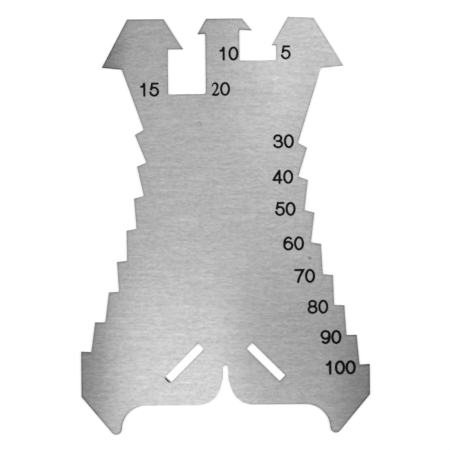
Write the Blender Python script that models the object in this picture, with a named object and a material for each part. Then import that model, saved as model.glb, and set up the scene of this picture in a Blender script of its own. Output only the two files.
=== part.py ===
"""Tinsmith's marking template, a hardened steel sheet whose whole edge is gauges.

Each barb of the three heads is a scribing tip. The floors of the two notches and the
stops down both sides lie at set distances from a tip, so a tin edge that is hooked on
a stop is scribed at that distance. The sheet lies flat, with its heads towards +Y and
its origin under the middle of its bounding box.
"""

import math

import bmesh
import bpy
from mathutils import Vector

# Lengths are in metres and angles in degrees.

# Sheet
SHEET_THICKNESS = 0.0010
EDGE_BREAK = 0.0002  # chamfer round both faces
INNER_RADIUS = 0.0003  # left by the cutter in inner corners
STEM_ROOT_RADIUS = 0.0009  # between the stem and the deep left notch's floor
ARC_TOLERANCE = 0.00001  # between an arc and its chords

# Outer scribing tips, which are the zero line of the outline
TIP_SPAN = 0.0806
HEAD_RISE = 0.0160  # from the tips to the top of the heads
RIGHT_HEAD_CREST = 0.0004  # by which the right head's top rises towards its notch

# Gauges of the notches, from a tip to the floor of its notch
RIGHT_HEAD_GAUGE = 0.005
MIDDLE_RIGHT_GAUGE = 0.010
LEFT_HEAD_GAUGE = 0.015
MIDDLE_LEFT_GAUGE = 0.020

# Notches and the stem of the middle head between them
STEM_WIDTH = 0.01135
LEFT_NOTCH_WIDTH = 0.01255
RIGHT_NOTCH_WIDTH = 0.0123
LEFT_FLOOR_DROP = 0.0091  # below the outer tips
RIGHT_FLOOR_RISE = 0.0020  # above the outer tips

# Barbs: how far each tip stands out, and the slope of the roof behind it from upright
LEFT_OUTER_REACH = 0.0066
LEFT_OUTER_ROOF = 28.2
LEFT_INNER_REACH = 0.0051
LEFT_INNER_ROOF = 32.5
MIDDLE_LEFT_REACH = 0.0026
MIDDLE_LEFT_ROOF = 29.6
MIDDLE_RIGHT_REACH = 0.0042
MIDDLE_RIGHT_ROOF = 38.9
RIGHT_INNER_REACH = 0.0015
RIGHT_INNER_ROOF = 30.2
RIGHT_OUTER_REACH = 0.0075
RIGHT_OUTER_ROOF = 31.5
OUTER_UNDERCUT = 5.8  # slope of the outer barbs' undersides, down to the neck
MIDDLE_UNDERCUT = 4.5  # slope of the middle barbs' undersides, up to the stem

# Ladders of stops, each stop a gauge step farther from the outer tip than the last.
# A reach is a stop's own from the middle line, and the lowest stops end the base's sides.
LEFT_FIRST_GAUGE = 0.025
LEFT_REACHES = (0.0295, 0.0289, 0.0300, 0.0326, 0.0359, 0.0387, 0.0434)
RIGHT_FIRST_GAUGE = 0.030
RIGHT_REACHES = (0.0279, 0.0281, 0.0302, 0.0323, 0.0362, 0.0399, 0.0439)
GAUGE_STEP = 0.010
STOP_DEPTH = 0.0034

# Base and feet
BASE_WIDTH = 0.0963
SIDE_LAND = 0.0101  # straight side under the lowest stop
EDGE_DROP = 0.0031  # from the side corners to the bottom edge
FOOT_DEPTH = 0.0096  # below the bottom edge
FOOT_TIP_RADIUS = 0.0018
RECESS_WIDTH = 0.0697  # between the feet
RECESS_RADIUS = 0.00825

# Slit in the middle of the bottom edge, which flares below its straight throat
SLIT_WIDTH = 0.00186
SLIT_HEIGHT = 0.0131
THROAT_DEPTH = 0.0042
MOUTH_FLARE = 16.0  # of each side, from upright
LIP_RADIUS = 0.0074

# Slanted slots, one on each side of the slit
SLOT_LENGTH = 0.0155
SLOT_WIDTH = 0.00275
SLOT_SLANT = 45.0
SLOT_SPREAD = 0.0271  # between their centres
SLOT_RISE = 0.0142  # of their centres above the bottom edge

STEEL = {"colour": (0.46, 0.46, 0.455, 1.0), "metallic": 1.0, "roughness": 0.34}

SHARP = 0.0  # radius of a corner that isn't rounded


def clear_scene():
    for thing in list(bpy.data.objects):
        bpy.data.objects.remove(thing, do_unlink=True)


def on_circle(centre, radius, angle):
    return centre + Vector((radius * math.cos(angle), radius * math.sin(angle)))


def arc(centre, radius, start, end):
    """Points along an arc from one angle to another, in radians, with both ends."""
    widest = 2 * math.acos(1 - ARC_TOLERANCE / radius)
    steps = max(1, math.ceil(abs(end - start) / widest))
    return [on_circle(centre, radius, start + (end - start) * n / steps) for n in range(steps + 1)]


def fillet(before, corner, after, radius):
    """Points of the arc that rounds a corner, tangent to both of its legs."""
    back = (before - corner).normalized()
    ahead = (after - corner).normalized()
    half_angle = back.angle(ahead) / 2
    centre = corner + (back + ahead).normalized() * radius / math.sin(half_angle)
    first = corner + back * radius / math.tan(half_angle) - centre
    last = corner + ahead * radius / math.tan(half_angle) - centre
    start = math.atan2(first.y, first.x)
    turn = math.remainder(math.atan2(last.y, last.x) - start, math.tau)
    return arc(centre, radius, start, start + turn)


def rounded(corners):
    """Points of a closed outline, from corners that are each a place and a radius."""
    points = []
    for n, (corner, radius) in enumerate(corners):
        if radius == SHARP:
            points.append(corner)
        else:
            before = corners[n - 1][0]
            after = corners[(n + 1) % len(corners)][0]
            points += fillet(before, corner, after, radius)
    return points


def mirrored(corners):
    """The same corners across the YZ plane, in reverse, so that they still run one way round."""
    return [(Vector((-place.x, place.y)), radius) for place, radius in reversed(corners)]


def barb(tip, reach, undercut, roof, side, top_height=HEAD_RISE):
    """Root, tip and top corner of a barb that points to +X, or to -X where side is -1."""
    root = tip - Vector((side * reach, reach * math.tan(math.radians(undercut))))
    climb = top_height - tip.y
    top = tip + Vector((-side * climb * math.tan(math.radians(roof)), climb))
    return [(root, INNER_RADIUS), (tip, SHARP), (top, SHARP)]


def notch_floor(near, near_radius, far, far_radius, height):
    return [(Vector((near, height)), near_radius), (Vector((far, height)), far_radius)]


def heads():
    """Corners from the root of the right outer barb, over the heads, to the left one."""
    stem = STEM_WIDTH / 2
    left_wall = -stem - LEFT_NOTCH_WIDTH
    right_wall = stem + RIGHT_NOTCH_WIDTH
    left_floor = -LEFT_FLOOR_DROP
    right_floor = RIGHT_FLOOR_RISE
    crest = HEAD_RISE + RIGHT_HEAD_CREST
    right_outer = Vector((TIP_SPAN / 2, 0))
    right_inner = Vector((right_wall - RIGHT_INNER_REACH, right_floor + RIGHT_HEAD_GAUGE))
    middle_right = Vector((stem + MIDDLE_RIGHT_REACH, right_floor + MIDDLE_RIGHT_GAUGE))
    middle_left = Vector((-stem - MIDDLE_LEFT_REACH, left_floor + MIDDLE_LEFT_GAUGE))
    left_inner = Vector((left_wall + LEFT_INNER_REACH, left_floor + LEFT_HEAD_GAUGE))
    left_outer = Vector((-TIP_SPAN / 2, 0))
    return [
        *barb(right_outer, RIGHT_OUTER_REACH, OUTER_UNDERCUT, RIGHT_OUTER_ROOF, 1),
        *reversed(barb(right_inner, RIGHT_INNER_REACH, 0, RIGHT_INNER_ROOF, -1, crest)),
        *notch_floor(right_wall, INNER_RADIUS, stem, INNER_RADIUS, right_floor),
        *barb(middle_right, MIDDLE_RIGHT_REACH, -MIDDLE_UNDERCUT, MIDDLE_RIGHT_ROOF, 1),
        *reversed(barb(middle_left, MIDDLE_LEFT_REACH, -MIDDLE_UNDERCUT, MIDDLE_LEFT_ROOF, -1)),
        *notch_floor(-stem, STEM_ROOT_RADIUS, left_wall, INNER_RADIUS, left_floor),
        *barb(left_inner, LEFT_INNER_REACH, 0, LEFT_INNER_ROOF, 1),
        *reversed(barb(left_outer, LEFT_OUTER_REACH, OUTER_UNDERCUT, LEFT_OUTER_ROOF, -1)),
    ]


def stops(first_gauge, reaches):
    """Corners of the right ladder from its lowest stop up.

    A stop is square to the line from the tip, at its gauge from it. Its place round
    the tip is an angle from straight down, which its reach settles.
    """
    tip = Vector((TIP_SPAN / 2, 0))
    down = -math.pi / 2
    corners = []
    for n, reach in reversed(list(enumerate([*reaches, BASE_WIDTH / 2]))):
        gauge = first_gauge + n * GAUGE_STEP
        outer = math.asin((tip.x - reach) / gauge)
        inner = outer + STOP_DEPTH / gauge
        corners.append((on_circle(tip, gauge, down - outer), SHARP))
        corners.append((on_circle(tip, gauge, down - inner), INNER_RADIUS))
    return corners


def foot(shoulder, edge_height):
    """Corners of the right half of the bottom, from the slit's top to the side corner."""
    wall = SLIT_WIDTH / 2
    crown = arc(Vector((0, edge_height + SLIT_HEIGHT - wall)), wall, math.pi / 2, 0)
    throat_end = edge_height + SLIT_HEIGHT - THROAT_DEPTH
    mouth = wall + (throat_end - edge_height) * math.tan(math.radians(MOUTH_FLARE))
    recess_centre = Vector((RECESS_WIDTH / 2 - RECESS_RADIUS, edge_height - RECESS_RADIUS))
    tip_height = edge_height - FOOT_DEPTH + FOOT_TIP_RADIUS
    rise = tip_height - recess_centre.y
    toward_tip = math.asin(rise / (RECESS_RADIUS + FOOT_TIP_RADIUS))
    tip_centre = on_circle(recess_centre, RECESS_RADIUS + FOOT_TIP_RADIUS, toward_tip)
    recess = arc(recess_centre, RECESS_RADIUS, math.pi / 2, toward_tip)
    to_shoulder = shoulder - tip_centre
    bearing = math.atan2(to_shoulder.y, to_shoulder.x)
    leave = bearing - math.acos(FOOT_TIP_RADIUS / to_shoulder.length)
    tip = arc(tip_centre, FOOT_TIP_RADIUS, toward_tip - math.pi, leave)
    return [
        *((place, SHARP) for place in crown),
        (Vector((wall, throat_end)), SHARP),
        (Vector((mouth, edge_height)), LIP_RADIUS),
        *((place, SHARP) for place in recess),
        *((place, SHARP) for place in tip[1:]),
        (shoulder, SHARP),
    ]


def slot(centre, slant):
    """Outline of one slanted slot, with the cutter's radius in its corners."""
    along = on_circle(Vector((0, 0)), SLOT_LENGTH / 2, math.radians(slant))
    across = on_circle(Vector((0, 0)), SLOT_WIDTH / 2, math.radians(slant + 90))
    corners = (along + across, across - along, -along - across, along - across)
    return rounded([(centre + corner, INNER_RADIUS) for corner in corners])


def outlines():
    """The sheet's own outline, and then those of its slots."""
    right = stops(RIGHT_FIRST_GAUGE, RIGHT_REACHES)
    left = stops(LEFT_FIRST_GAUGE, LEFT_REACHES)
    shoulder_height = min(right[0][0].y, left[0][0].y) - SIDE_LAND
    edge_height = shoulder_height - EDGE_DROP
    half_bottom = foot(Vector((BASE_WIDTH / 2, shoulder_height)), edge_height)
    sheet = rounded([*mirrored(half_bottom[1:]), *half_bottom, *right, *heads(), *mirrored(left)])
    slot_centre = Vector((SLOT_SPREAD / 2, edge_height + SLOT_RISE))
    right_slot = slot(slot_centre, -SLOT_SLANT)
    left_slot = slot(Vector((-slot_centre.x, slot_centre.y)), SLOT_SLANT)
    return [sheet, right_slot, left_slot]


def inset(points, distance):
    """A closed outline moved by a distance to its left, with mitred corners."""
    moved = []
    for n, point in enumerate(points):
        arriving = (point - points[n - 1]).normalized()
        leaving = (points[(n + 1) % len(points)] - point).normalized()
        left = Vector((-arriving.y - leaving.y, arriving.x + leaving.x)).normalized()
        shortening = left.dot(Vector((-leaving.y, leaving.x)))
        moved.append(point + left * distance / shortening)
    return moved


def add_wall(mesh, points, inward):
    """Rings of one outline up the sheet's edge, with its chamfers, and the faces between.

    inward is 1 for an outline that runs round material, and -1 for one round a hole.
    Returns the edges of the lowest ring and of the highest.
    """
    levels = (
        (0, EDGE_BREAK),
        (EDGE_BREAK, 0),
        (SHEET_THICKNESS - EDGE_BREAK, 0),
        (SHEET_THICKNESS, EDGE_BREAK),
    )
    rings = []
    for height, distance in levels:
        ring = inset(points, inward * distance)
        rings.append([mesh.verts.new((point.x, point.y, height)) for point in ring])
    for lower, upper in zip(rings, rings[1:]):
        for n in range(len(points)):
            mesh.faces.new((lower[n - 1], lower[n], upper[n], upper[n - 1]))
    lowest, highest = rings[0], rings[-1]
    return (
        [mesh.edges.get((lowest[n - 1], lowest[n])) for n in range(len(points))],
        [mesh.edges.get((highest[n - 1], highest[n])) for n in range(len(points))],
    )


def steel():
    material = bpy.data.materials.new("brushed_steel")
    material.use_nodes = True
    shader = material.node_tree.nodes["Principled BSDF"]
    shader.inputs["Base Color"].default_value = STEEL["colour"]
    shader.inputs["Metallic"].default_value = STEEL["metallic"]
    shader.inputs["Roughness"].default_value = STEEL["roughness"]
    material.diffuse_color = STEEL["colour"]
    return material


def template_plate():
    sheet, *slots = outlines()
    mesh = bmesh.new()
    bottom, top = add_wall(mesh, sheet, 1)
    for hole in slots:
        below, above = add_wall(mesh, hole, -1)
        bottom += below
        top += above
    bmesh.ops.triangle_fill(mesh, edges=bottom, use_beauty=True, normal=(0, 0, -1))
    bmesh.ops.triangle_fill(mesh, edges=top, use_beauty=True, normal=(0, 0, 1))
    bmesh.ops.recalc_face_normals(mesh, faces=mesh.faces)
    data = bpy.data.meshes.new("template_plate")
    mesh.to_mesh(data)
    mesh.free()
    data.shade_smooth()
    data.set_sharp_from_angle(angle=math.radians(30))
    data.materials.append(steel())
    plate = bpy.data.objects.new("template_plate", data)
    heights = [point.y for point in sheet]
    plate.location.y = -(min(heights) + max(heights)) / 2
    bpy.context.scene.collection.objects.link(plate)


clear_scene()
template_plate()
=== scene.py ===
"""Looks of the tinsmith's marking template: brushed steel, blackened numbers and the studio.

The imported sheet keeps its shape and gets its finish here. Each number is a thin closed
shape on the upper face, drawn with a pen from a few strokes.
"""

import math

import bmesh
import bpy
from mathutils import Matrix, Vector
from mathutils.geometry import delaunay_2d_cdt

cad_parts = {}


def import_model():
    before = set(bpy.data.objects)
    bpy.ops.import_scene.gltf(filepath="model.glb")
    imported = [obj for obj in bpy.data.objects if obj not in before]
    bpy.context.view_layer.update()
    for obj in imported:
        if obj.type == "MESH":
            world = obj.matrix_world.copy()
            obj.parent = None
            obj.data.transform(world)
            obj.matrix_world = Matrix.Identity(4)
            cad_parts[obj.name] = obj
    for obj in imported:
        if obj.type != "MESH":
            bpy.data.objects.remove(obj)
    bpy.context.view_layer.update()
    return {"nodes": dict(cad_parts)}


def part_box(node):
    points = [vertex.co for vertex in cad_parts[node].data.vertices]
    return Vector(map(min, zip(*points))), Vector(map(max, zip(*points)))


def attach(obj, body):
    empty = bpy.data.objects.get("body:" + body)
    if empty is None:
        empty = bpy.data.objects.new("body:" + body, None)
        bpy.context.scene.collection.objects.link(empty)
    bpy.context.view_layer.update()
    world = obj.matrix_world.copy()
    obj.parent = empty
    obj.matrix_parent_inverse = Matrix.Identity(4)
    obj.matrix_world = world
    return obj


# Lengths are in metres and angles in degrees. What is in millimetres is named so.
MILLIMETRE = 0.001
WHITE = (1.0, 1.0, 1.0, 1.0)

# Camera, which looks straight down at the sheet's upper face
FRAME_WIDTH = 0.14998  # of the face, across the picture
AIM = (0.00029, 0.00018)
CAMERA_TURN = -0.552  # about the view line
LENS = 70.0  # millimetres
SENSOR = 36.0  # millimetres
CLIP_NEAR = 0.01
CLIP_FAR = 100.0

# Numbers: the ink box of the common digit, and the pen that draws it, in millimetres
DIGIT_WIDTH = 3.45
DIGIT_HEIGHT = 4.75
DIGIT_ADVANCE = 3.57
UPRIGHT_PEN = 0.82  # width of an upright stroke
LEVEL_PEN = 0.76  # width of a level stroke
SAME_PLACE = 0.001  # between a stroke's two ends where it is a ring
MERGE_DISTANCE = 0.0001  # between patch corners that become one

# How the pen's strokes become shapes
ARC_STEP = 12.0
DOT_END = 330.0  # of the last corner of the pen's own outline, before it closes
LEAST_MITRE = 0.4  # which keeps the outer edge of a sharp turn from running far out
TRIANGLES_INSIDE = 1  # the kind of triangulation that covers the patches and nothing else
INK_DEPTH = 0.00001  # below the steel's face
INK_RISE = 0.00001  # above it

# Lower left corner of each number's ink box in millimetres, and the pen's share of its width
NUMBERS = {
    "15": ((-28.22, 43.15), 1.0),
    "10": ((-1.65, 54.93), 1.0),
    "20": ((-4.55, 43.15), 0.97),
    "5": ((19.32, 55.14), 0.96),
    "30": ((16.55, 25.53), 1.03),
    "40": ((16.2, 13.67), 1.02),
    "50": ((16.9, 2.97), 1.03),
    "60": ((19.6, -8.55), 1.03),
    "70": ((23.17, -19.43), 1.05),
    "80": ((27.48, -29.74), 1.0),
    "90": ((31.73, -39.87), 1.1),
    "100": ((32.85, -50.04), 1.13),
}

# Steel, whose tone is the share of its colour that is left at a place
STEEL_COLOUR = (0.46, 0.46, 0.46)
STEEL_ROUGHNESS = 0.22
STEEL_STRETCH = 0.69  # of the highlights, which the brush marks draw out
STRETCH_LINE = (0.02, 0.6, 0.8)  # across the marks on a face, and mostly upward on a wall
FACE_TONE = 0.98

# Brush marks along x: grain size, shift of the noise, and weight
BRUSH_LAYERS = [
    ((0.0009, 0.0006, 0.0006), (5.3, 0.4, 2.2), 0.40),
    ((0.0019, 0.00075, 0.00075), (0.0, 0.0, 0.0), 0.45),
    ((0.014, 0.0010, 0.0010), (3.1, 7.7, 1.3), 0.25),
]
BRUSH_DETAIL = 1.0
NOISE_MEAN = 0.5
GRAIN_STRENGTH = 0.85

# Wisps: faint pale strokes that bend a little, where the sheet was wiped
WISP_SIZE = (0.007, 0.0016, 0.0016)
WISP_DETAIL = 2.0
WISP_SHIFT = (9.4, 2.6, 5.8)
WISP_BEND = 0.8
WISP_RANGE = (0.52, 0.75)  # of the noise, from no wisp to a whole one
WISP_TONE = 0.10  # which a whole one adds

# Rims, darkened with painted shade, and the cut surfaces: chamfers and side walls
RIM_WIDTH = 1.7  # millimetres
# The rim loss is painted shade along every edge, as a share of the tone.
RIM_LOSS = 0.42
EDGE_SAMPLES = 8
EDGE_RANGE = (0.75, 1.0)  # agreement of the eased and the true normal, at an edge and off it
CUT_TONE = 0.9
# A zone's rim value paints shade onto the chamfers and walls, or a highlight where it is negative,
# between the least and greatest tone.
CUT_SHIFT = 2.6  # how far a zone's rim loss changes the tone of its cuts
CUT_RANGE = (0.5, 1.8)  # least and greatest tone of a cut
FLAT_RANGE = (0.8, 0.95)  # upright share of the normal, on a cut and on a face

# Zones of painted shade and painted highlight: middle and half size in millimetres, turn, tone lost as
# painted shade, and more lost on the rims, where a negative value paints a highlight instead
PAINTED_LIGHT_AND_SHADE_ZONES = [
    ((-41.5, 52.5), (19.0, 7.5), 55.0, 0.40, 0.20),
    ((-31.0, 64.0), (17.0, 18.0), 0.0, 0.0, 0.40),
    ((-4.0, 68.0), (11.0, 8.0), 0.0, 0.0, 0.35),
    ((-17.5, 53.0), (5.0, 14.0), 0.0, 0.09, -0.40),
    ((12.0, 58.0), (10.0, 12.0), 0.0, 0.0, -0.45),
    ((12.0, 45.0), (8.5, 15.5), 0.0, 0.08, 0.0),
    ((30.0, 56.0), (14.0, 24.0), 0.0, 0.0, -0.15),
    ((36.0, 51.5), (9.0, 5.0), 0.0, 0.0, -0.45),
    ((-48.0, -40.0), (16.0, 24.0), 0.0, 0.08, 0.10),
    ((-46.0, -60.0), (16.0, 18.0), 0.0, 0.0, 0.50),
    ((34.0, 10.0), (8.0, 34.0), 5.0, 0.05, 0.0),
    ((49.0, -42.0), (13.0, 26.0), 0.0, 0.14, 0.25),
    ((47.0, -61.0), (15.0, 17.0), 0.0, 0.0, 0.60),
    ((-9.0, -54.0), (38.0, 24.0), 0.0, 0.0, -0.55),
]
ZONE_DEPTH = 1000.0  # millimetres, so that a zone is on both faces
ZONE_ENDS = (0.0, 1.0)  # shares of its half size where it is whole and where it ends
# The lost tone here is the zones' painted shade.
SHADE_GRAIN = 1.0  # how far a lost tone strengthens the brush marks

# Small marks, and a painted shadow at the end of the left slot: middle and half size in millimetres,
# turn, and share of the tone left in it
MARKS_AND_SLOT_SHADE = [
    ((-7.65, 34.2), (0.28, 0.85), 20.0, 0.70),
    ((28.4, -11.1), (0.72, 0.60), 0.0, 0.60),
    # painted shadow, almost black, at the lower end of the left slot
    ((-19.4, -51.45), (1.4, 0.28), -45.0, 0.05),
]
MARK_DEPTH = 0.8  # millimetres, so that a mark doesn't reach the back
MARK_ENDS = (0.6, 1.2)

# Ink, from fresh to worn
INK_COLOUR = (0.003, 0.003, 0.003, 1.0)
WORN_INK_COLOUR = (0.02, 0.02, 0.02, 1.0)
INK_ROUGHNESS = (0.5, 0.7)
INK_SPECULAR = 0.05
WEAR_SIZE = (0.0006, 0.0002, 0.0002)
WEAR_DETAIL = 3.0
WEAR_COLOUR_RANGE = (0.45, 0.85)  # of the noise
WEAR_ROUGHNESS_RANGE = (0.3, 0.7)  # of the noise

# Studio: a floor, an even world, soft boxes straight above, and a lamp on either side
FLOOR_SIZE = 30.0
FLOOR_DROP = 0.00002  # below the sheet's lower face
FLOOR_COLOUR = (0.6, 0.6, 0.6, 1.0)
FLOOR_ROUGHNESS = 0.9
FLOOR_GLOW = 0.50  # seen by the camera and in reflections, without lighting what is matt
WORLD_LEVEL = 0.30
BOX_HEIGHT = 0.45
BOX_STEP = 0.001  # up to the next box, since boxes in one plane hide each other
OVERHEAD_BOXES = {  # middle, size and radiance
    "centre_box": ((0.012, 0.075), (0.217, 0.299), 0.67),
    "stem_box": ((0.042, 0.136), (0.048, 0.090), 0.88),
    "upper_right_box": ((0.118, 0.277), (0.084, 0.223), 1.27),
    "lower_left_box": ((-0.048, -0.219), (0.106, 0.299), 1.30),
    "lower_right_box": ((0.048, -0.230), (0.101, 0.227), 0.79),
}
LAMP_PLACE = (0.60, 0.10, 0.85)  # of the right lamp, and the left one faces it
LAMP_SIZE = (0.6, 0.6)
LAMP_LEVEL = 0.26  # of what each adds to a matt white floor


def upper_face():
    """Height of the sheet's numbered face."""
    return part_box("template_plate")[1].z


def node(tree, kind, **settings):
    made = tree.nodes.new(kind)
    for name, value in settings.items():
        setattr(made, name, value)
    return made


def feed(tree, socket, value):
    """Give a socket its value, which is a number or another socket."""
    if isinstance(value, bpy.types.NodeSocket):
        tree.links.new(value, socket)
    else:
        socket.default_value = value


def math_node(tree, operation, *values):
    made = node(tree, "ShaderNodeMath", operation=operation)
    for socket, value in zip(made.inputs, values):
        feed(tree, socket, value)
    return made.outputs[0]


def spread(tree, value, low, high, to_low, to_high):
    """A value mapped from one range to another, held at its ends."""
    made = node(tree, "ShaderNodeMapRange")
    tree.links.new(value, made.inputs["Value"])
    made.inputs["From Min"].default_value = low
    made.inputs["From Max"].default_value = high
    made.inputs["To Min"].default_value = to_low
    made.inputs["To Max"].default_value = to_high
    return made.outputs["Result"]


def blend(tree, share, low, high):
    """A value between two others."""
    made = node(tree, "ShaderNodeMix")
    for name, value in (("Factor", share), ("A", low), ("B", high)):
        feed(tree, made.inputs[name], value)
    return made.outputs["Result"]


def noise(tree, place, size, detail, shift=(0.0, 0.0, 0.0)):
    """Noise whose grains have a size along each axis."""
    mapping = node(tree, "ShaderNodeMapping")
    mapping.inputs["Location"].default_value = shift
    mapping.inputs["Scale"].default_value = [1 / length for length in size]
    tree.links.new(place, mapping.inputs["Vector"])
    made = node(tree, "ShaderNodeTexNoise")
    made.inputs["Scale"].default_value = 1.0
    made.inputs["Detail"].default_value = detail
    tree.links.new(mapping.outputs["Vector"], made.inputs["Vector"])
    return made.outputs["Fac"]


def new_material(name):
    material = bpy.data.materials.new(name)
    material.use_nodes = True
    tree = material.node_tree
    return material, tree, tree.nodes["Principled BSDF"]


def spot(tree, place, centre, reach, turn, depth, ends):
    """One in the middle of an ellipse on the upper face, and nothing outside it or below its depth."""
    full, gone = ends
    middle = (centre[0] * MILLIMETRE, centre[1] * MILLIMETRE, upper_face())
    mapping = node(tree, "ShaderNodeMapping", vector_type="TEXTURE")
    mapping.inputs["Location"].default_value = middle
    mapping.inputs["Rotation"].default_value = (0, 0, math.radians(turn))
    mapping.inputs["Scale"].default_value = [size * MILLIMETRE for size in (*reach, depth)]
    tree.links.new(place, mapping.inputs["Vector"])
    away = node(tree, "ShaderNodeVectorMath", operation="LENGTH")
    tree.links.new(mapping.outputs["Vector"], away.inputs[0])
    return spread(tree, away.outputs["Value"], full, gone, 1.0, 0.0)


def near_edge(tree):
    """One at an edge of the sheet, falling to nothing at the rim's width from it."""
    eased = node(tree, "ShaderNodeBevel", samples=EDGE_SAMPLES)
    eased.inputs["Radius"].default_value = RIM_WIDTH * MILLIMETRE
    face = node(tree, "ShaderNodeNewGeometry")
    made = node(tree, "ShaderNodeVectorMath", operation="DOT_PRODUCT")
    tree.links.new(eased.outputs["Normal"], made.inputs[0])
    tree.links.new(face.outputs["True Normal"], made.inputs[1])
    return spread(tree, made.outputs["Value"], *EDGE_RANGE, 1.0, 0.0)


def flat_face(tree):
    """One on the two faces, and nothing on the chamfers and side walls."""
    split = node(tree, "ShaderNodeSeparateXYZ")
    tree.links.new(node(tree, "ShaderNodeNewGeometry").outputs["True Normal"], split.inputs[0])
    return spread(tree, math_node(tree, "ABSOLUTE", split.outputs["Z"]), *FLAT_RANGE, 0.0, 1.0)


def brush_marks(tree, place):
    """Short and long marks along x, as a change of tone around nothing."""
    total = 0.0
    for size, shift, weight in BRUSH_LAYERS:
        layer = noise(tree, place, size, BRUSH_DETAIL, shift)
        total = math_node(tree, "MULTIPLY_ADD", layer, weight, total)
    mean = NOISE_MEAN * sum(weight for _, _, weight in BRUSH_LAYERS)
    return math_node(tree, "SUBTRACT", total, mean)


def wisps(tree, place):
    """The tone that the wisps add."""
    made = noise(tree, place, WISP_SIZE, WISP_DETAIL, WISP_SHIFT)
    made.node.inputs["Distortion"].default_value = WISP_BEND
    return spread(tree, made, *WISP_RANGE, 0.0, WISP_TONE)


def zone_losses(tree, place):
    """The tone lost to painted shade in the zones, and what their rims lose more, or gain as a painted
    highlight where it is negative.
    """
    face_loss = 0.0
    rim_loss = 0.0
    for centre, reach, turn, on_face, on_rim in PAINTED_LIGHT_AND_SHADE_ZONES:
        near = spot(tree, place, centre, reach, turn, ZONE_DEPTH, ZONE_ENDS)
        if on_face:
            face_loss = math_node(tree, "MULTIPLY_ADD", near, on_face, face_loss)
        rim_loss = math_node(tree, "MULTIPLY_ADD", near, on_rim, rim_loss)
    return face_loss, rim_loss


def face_tone(tree, place, face_loss):
    """Tone of a brushed face, darkened by the zones' painted shade, whose marks are stronger there."""
    tone = math_node(tree, "ADD", wisps(tree, place), FACE_TONE)
    tone = math_node(tree, "MULTIPLY", tone, math_node(tree, "SUBTRACT", 1.0, face_loss))
    strength = math_node(tree, "MULTIPLY_ADD", face_loss, SHADE_GRAIN, GRAIN_STRENGTH)
    return math_node(tree, "MULTIPLY_ADD", brush_marks(tree, place), strength, tone)


def kept_on_cuts(tree, rim_loss):
    """Share of the tone kept on chamfers and side walls, with all of it kept on the faces; the zones
    paint shade or highlights onto the cuts.
    """
    cut = math_node(tree, "MULTIPLY_ADD", rim_loss, -CUT_SHIFT, CUT_TONE)
    return blend(tree, flat_face(tree), spread(tree, cut, *CUT_RANGE, *CUT_RANGE), 1.0)


def kept_on_rims(tree, rim_loss):
    """Share of the tone kept along the edges, which painted shade darkens."""
    loss = math_node(tree, "ADD", rim_loss, RIM_LOSS)
    return math_node(tree, "SUBTRACT", 1.0, math_node(tree, "MULTIPLY", near_edge(tree), loss))


def kept_in_mark_or_shade(tree, place, centre, reach, turn, left):
    """Share of the tone kept in a small mark or in the painted shadow."""
    near = spot(tree, place, centre, reach, turn, MARK_DEPTH, MARK_ENDS)
    return spread(tree, near, 0.0, 1.0, 1.0, left)


def steel_tone(tree, place):
    """Share of the steel's colour at each place."""
    face_loss, rim_loss = zone_losses(tree, place)
    tone = face_tone(tree, place, face_loss)
    shares = [kept_on_cuts(tree, rim_loss), kept_on_rims(tree, rim_loss)]
    shares += [kept_in_mark_or_shade(tree, place, *mark) for mark in MARKS_AND_SLOT_SHADE]
    for share in shares:
        tone = math_node(tree, "MULTIPLY", tone, share)
    return tone


def brushed_steel():
    material, tree, shader = new_material("brushed_steel")
    place = node(tree, "ShaderNodeTexCoord").outputs["Object"]
    scaled = node(tree, "ShaderNodeVectorMath", operation="SCALE")
    scaled.inputs[0].default_value = STEEL_COLOUR
    tree.links.new(steel_tone(tree, place), scaled.inputs["Scale"])
    tree.links.new(scaled.outputs[0], shader.inputs["Base Color"])
    shader.inputs["Roughness"].default_value = STEEL_ROUGHNESS
    shader.inputs["Metallic"].default_value = 1.0
    shader.inputs["Anisotropic"].default_value = STEEL_STRETCH
    line = node(tree, "ShaderNodeCombineXYZ")
    for axis, length in zip("XYZ", STRETCH_LINE):
        line.inputs[axis].default_value = length
    tree.links.new(line.outputs[0], shader.inputs["Tangent"])
    return material


def ink():
    material, tree, shader = new_material("ink")
    place = node(tree, "ShaderNodeTexCoord").outputs["Object"]
    wear = noise(tree, place, WEAR_SIZE, WEAR_DETAIL)
    ramp = node(tree, "ShaderNodeValToRGB")
    looks = zip(ramp.color_ramp.elements, WEAR_COLOUR_RANGE, (INK_COLOUR, WORN_INK_COLOUR))
    for element, position, colour in looks:
        element.position = position
        element.color = colour
    roughness = spread(tree, wear, *WEAR_ROUGHNESS_RANGE, *INK_ROUGHNESS)
    tree.links.new(wear, ramp.inputs["Fac"])
    tree.links.new(ramp.outputs["Color"], shader.inputs["Base Color"])
    tree.links.new(roughness, shader.inputs["Roughness"])
    shader.inputs["Specular IOR Level"].default_value = INK_SPECULAR
    return material


def sweep(centre, reach, start, end):
    """Points of an elliptical arc from one angle to another."""
    steps = math.ceil(abs(end - start) / ARC_STEP)
    angles = (math.radians(start + (end - start) * n / steps) for n in range(steps + 1))
    return [(centre[0] + reach[0] * math.cos(a), centre[1] + reach[1] * math.sin(a)) for a in angles]


# Each digit is a list of strokes of the pen's middle, in a box from (0, 0) to (1, 1).
# A point may also hold the pen's share there, as in the two, which has thin and thick strokes.
def zero():
    return [sweep((0.5, 0.5), (0.5, 0.5), 0, 360)]


def one():
    return [
        [(0.62, 0.0), (0.62, 1.0)],
        [(0.22, 0.74), (0.36, 0.76), (0.50, 0.84), (0.6, 1.0)],
    ]


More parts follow.
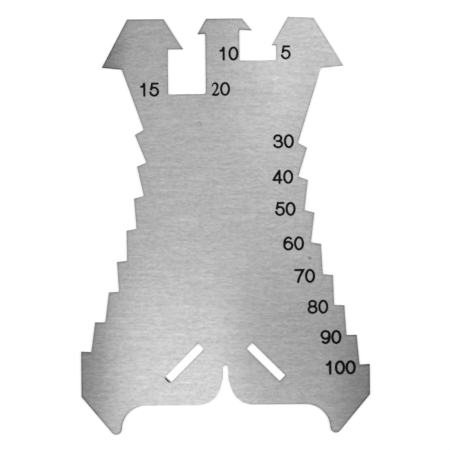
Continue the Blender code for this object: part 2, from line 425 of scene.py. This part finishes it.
def two():
    neck = [
        (0.22, 0.74, 0.5), (0.30, 0.87, 0.6), (0.44, 0.97, 0.75), (0.60, 1.0, 0.9), (0.77, 0.95, 1.0),
    ]
    diagonal = [
        (0.88, 0.84, 1.05), (0.90, 0.70, 1.0), (0.82, 0.52, 0.85), (0.66, 0.33, 0.7), (0.30, 0.03, 0.7),
    ]
    foot = [
        (0.28, 0.02, 0.9), (0.60, 0.0, 1.1), (0.86, 0.02, 1.1), (0.99, 0.08, 0.9), (1.07, 0.18, 0.6),
    ]
    return [neck + diagonal, foot]


def three():
    return [
        sweep((0.46, 0.76), (0.43, 0.24), 195, -75),
        [(0.33, 0.52), (0.6, 0.52)],
        sweep((0.5, 0.265), (0.5, 0.265), 80, -165),
    ]


def four():
    return [
        [(0.72, 1.0), (0.0, 0.27)],
        [(0.0, 0.24), (1.0, 0.24)],
        [(0.76, 0.0), (0.76, 1.0)],
    ]


def five():
    return [
        [(0.95, 1.0), (0.26, 1.0), (0.12, 0.52)],
        sweep((0.51, 0.335), (0.49, 0.335), 140, -168),
    ]


def six():
    return [
        sweep((0.52, 0.5), (0.52, 0.5), 52, 200),
        sweep((0.5, 0.32), (0.5, 0.32), 0, 360),
    ]


def seven():
    return [[(0.0, 1.0), (1.0, 1.0), (0.62, 0.55), (0.43, 0.25), (0.34, 0.0)]]


def eight():
    return [
        sweep((0.5, 0.76), (0.41, 0.24), 0, 360),
        sweep((0.5, 0.27), (0.5, 0.27), 0, 360),
    ]


def nine():
    """A six turned by half a turn."""
    return [[(1 - x, 1 - y) for x, y in stroke] for stroke in six()]


DIGITS = (zero, one, two, three, four, five, six, seven, eight, nine)


def pen_edge(points, shares, side):
    """One edge of a stroke, left of it where side is 1 and right where it is -1."""
    closed = (points[0] - points[-1]).length < SAME_PLACE
    edge = []
    for n, point in enumerate(points):
        before = points[n - 1] if n > 0 else (points[-2] if closed else None)
        after = points[n + 1] if n + 1 < len(points) else (points[1] if closed else None)
        arriving = (point - before).normalized() if before else (after - point).normalized()
        leaving = (after - point).normalized() if after else arriving
        normal = Vector((-arriving.y - leaving.y, arriving.x + leaving.x)).normalized()
        reach = shares[n] * math.hypot(normal.x * UPRIGHT_PEN / 2, normal.y * LEVEL_PEN / 2)
        mitre = max(LEAST_MITRE, normal.dot(Vector((-leaving.y, leaving.x))))
        edge.append(point + normal * side * reach / mitre)
    return edge


def pen_dot(point, share):
    """The pen's own outline, which rounds a stroke's end."""
    reach = (share * UPRIGHT_PEN / 2, share * LEVEL_PEN / 2)
    return [Vector(place) for place in sweep(point, reach, 0, DOT_END)]


def digit_patches(strokes, corner, share):
    """Flat patches that cover a digit's strokes, in millimetres."""
    patches = []
    for stroke in strokes:
        points = [
            Vector((
                corner[0] + UPRIGHT_PEN / 2 + place[0] * (DIGIT_WIDTH - UPRIGHT_PEN),
                corner[1] + LEVEL_PEN / 2 + place[1] * (DIGIT_HEIGHT - LEVEL_PEN),
            ))
            for place in stroke
        ]
        shares = [share * (place[2] if len(place) > 2 else 1.0) for place in stroke]
        left = pen_edge(points, shares, 1)
        right = pen_edge(points, shares, -1)
        for n in range(len(points) - 1):
            patches.append((right[n], right[n + 1], left[n + 1], left[n]))
        patches.append(pen_dot(points[0], shares[0]))
        patches.append(pen_dot(points[-1], shares[-1]))
    return patches


def number_patches(text, corner, share):
    """The patches of a number's digits, which stand side by side."""
    patches = []
    for n, character in enumerate(text):
        strokes = DIGITS[int(character)]()
        patches += digit_patches(strokes, (corner[0] + n * DIGIT_ADVANCE, corner[1]), share)
    return patches


def merged(patches):
    """Points and triangles that cover overlapping patches once."""
    corners = []
    faces = []
    for patch in patches:
        faces.append(range(len(corners), len(corners) + len(patch)))
        corners += patch
    result = delaunay_2d_cdt(corners, [], faces, TRIANGLES_INSIDE, MERGE_DISTANCE)
    points, _, triangles, _, _, origins = result
    return points, [triangle for triangle, origin in zip(triangles, origins) if origin]


def corners_at(height, mesh, points):
    """New corners of a mesh over points that are in millimetres."""
    return [mesh.verts.new((p.x * MILLIMETRE, p.y * MILLIMETRE, height)) for p in points]


def thin_shape(name, points, triangles):
    """A closed mesh of the triangles, from just below the steel's upper face to just above it."""
    mesh = bmesh.new()
    lower = corners_at(upper_face() - INK_DEPTH, mesh, points)
    upper = corners_at(upper_face() + INK_RISE, mesh, points)
    for triangle in triangles:
        mesh.faces.new([upper[n] for n in triangle])
        mesh.faces.new([lower[n] for n in reversed(triangle)])
    sides = [(triangle[n - 1], triangle[n]) for triangle in triangles for n in range(len(triangle))]
    # A side that no neighbour runs along the other way is on the outline, and gets a wall.
    known = set(sides)
    for start, end in sides:
        if (end, start) not in known:
            mesh.faces.new((lower[start], lower[end], upper[end], upper[start]))
    loose = [vert for vert in mesh.verts if not vert.link_faces]
    bmesh.ops.delete(mesh, geom=loose, context="VERTS")
    data = bpy.data.meshes.new(name)
    mesh.to_mesh(data)
    mesh.free()
    return data


def number(text, corner, share, finish):
    """A thin closed shape on the steel's upper face, one piece for each number."""
    data = thin_shape("number_" + text, *merged(number_patches(text, corner, share)))
    data.materials.append(finish)
    piece = bpy.data.objects.new("number_" + text, data)
    bpy.context.scene.collection.objects.link(piece)
    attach(piece, "root")


def floor():
    bpy.ops.mesh.primitive_plane_add(size=FLOOR_SIZE, location=(0, 0, -FLOOR_DROP))
    plane = bpy.context.object
    plane.name = "floor"
    material, tree, shader = new_material("floor_white")
    shader.inputs["Base Color"].default_value = FLOOR_COLOUR
    shader.inputs["Roughness"].default_value = FLOOR_ROUGHNESS
    shader.inputs["Specular IOR Level"].default_value = 0.0
    rays = node(tree, "ShaderNodeLightPath")
    seen = math_node(tree, "MAXIMUM", rays.outputs["Is Camera Ray"], rays.outputs["Is Glossy Ray"])
    seen = math_node(tree, "MAXIMUM", seen, rays.outputs["Is Transmission Ray"])
    shader.inputs["Emission Color"].default_value = WHITE
    tree.links.new(math_node(tree, "MULTIPLY", seen, FLOOR_GLOW), shader.inputs["Emission Strength"])
    plane.data.materials.append(material)


def world():
    made = bpy.data.worlds.new("studio")
    made.use_nodes = True
    background = made.node_tree.nodes["Background"]
    background.inputs["Color"].default_value = WHITE
    background.inputs["Strength"].default_value = WORLD_LEVEL
    bpy.context.scene.world = made


def softbox(name, size, place, aim, radiance):
    light = bpy.data.lights.new(name, "AREA")
    light.shape = "RECTANGLE"
    light.size = size[0]
    light.size_y = size[1]
    light.energy = radiance * math.pi * size[0] * size[1]
    lamp = bpy.data.objects.new(name, light)
    lamp.location = place
    lamp.rotation_euler = (Vector(aim) - Vector(place)).to_track_quat("-Z", "Y").to_euler()
    lamp.visible_camera = False
    bpy.context.scene.collection.objects.link(lamp)


def lights():
    for n, (name, (middle, size, radiance)) in enumerate(OVERHEAD_BOXES.items()):
        softbox(name, size, (*middle, BOX_HEIGHT + n * BOX_STEP), (*middle, 0), radiance)
    away = Vector(LAMP_PLACE).length
    lean = LAMP_PLACE[2] / away
    radiance = LAMP_LEVEL * math.pi * away**2 / (lean * LAMP_SIZE[0] * LAMP_SIZE[1])
    for name, side in (("right_lamp", 1), ("left_lamp", -1)):
        softbox(name, LAMP_SIZE, (side * LAMP_PLACE[0], *LAMP_PLACE[1:]), (0, 0, 0), radiance)


def camera():
    data = bpy.data.cameras.new("camera")
    data.lens = LENS
    data.sensor_width = SENSOR
    data.clip_start = CLIP_NEAR
    data.clip_end = CLIP_FAR
    eye = bpy.data.objects.new("camera", data)
    eye.location = (*AIM, upper_face() + FRAME_WIDTH * LENS / SENSOR)
    eye.rotation_euler.z = math.radians(CAMERA_TURN)
    bpy.context.scene.collection.objects.link(eye)
    bpy.context.scene.camera = eye


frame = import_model()
bpy.context.scene.view_settings.view_transform = "Standard"
camera()
floor()
world()
lights()
steel = brushed_steel()
for slot in frame["nodes"]["template_plate"].material_slots:
    slot.material = steel
ink_finish = ink()
for text, (corner, share) in NUMBERS.items():
    number(text, corner, share, ink_finish)
bpy.context.view_layer.update()
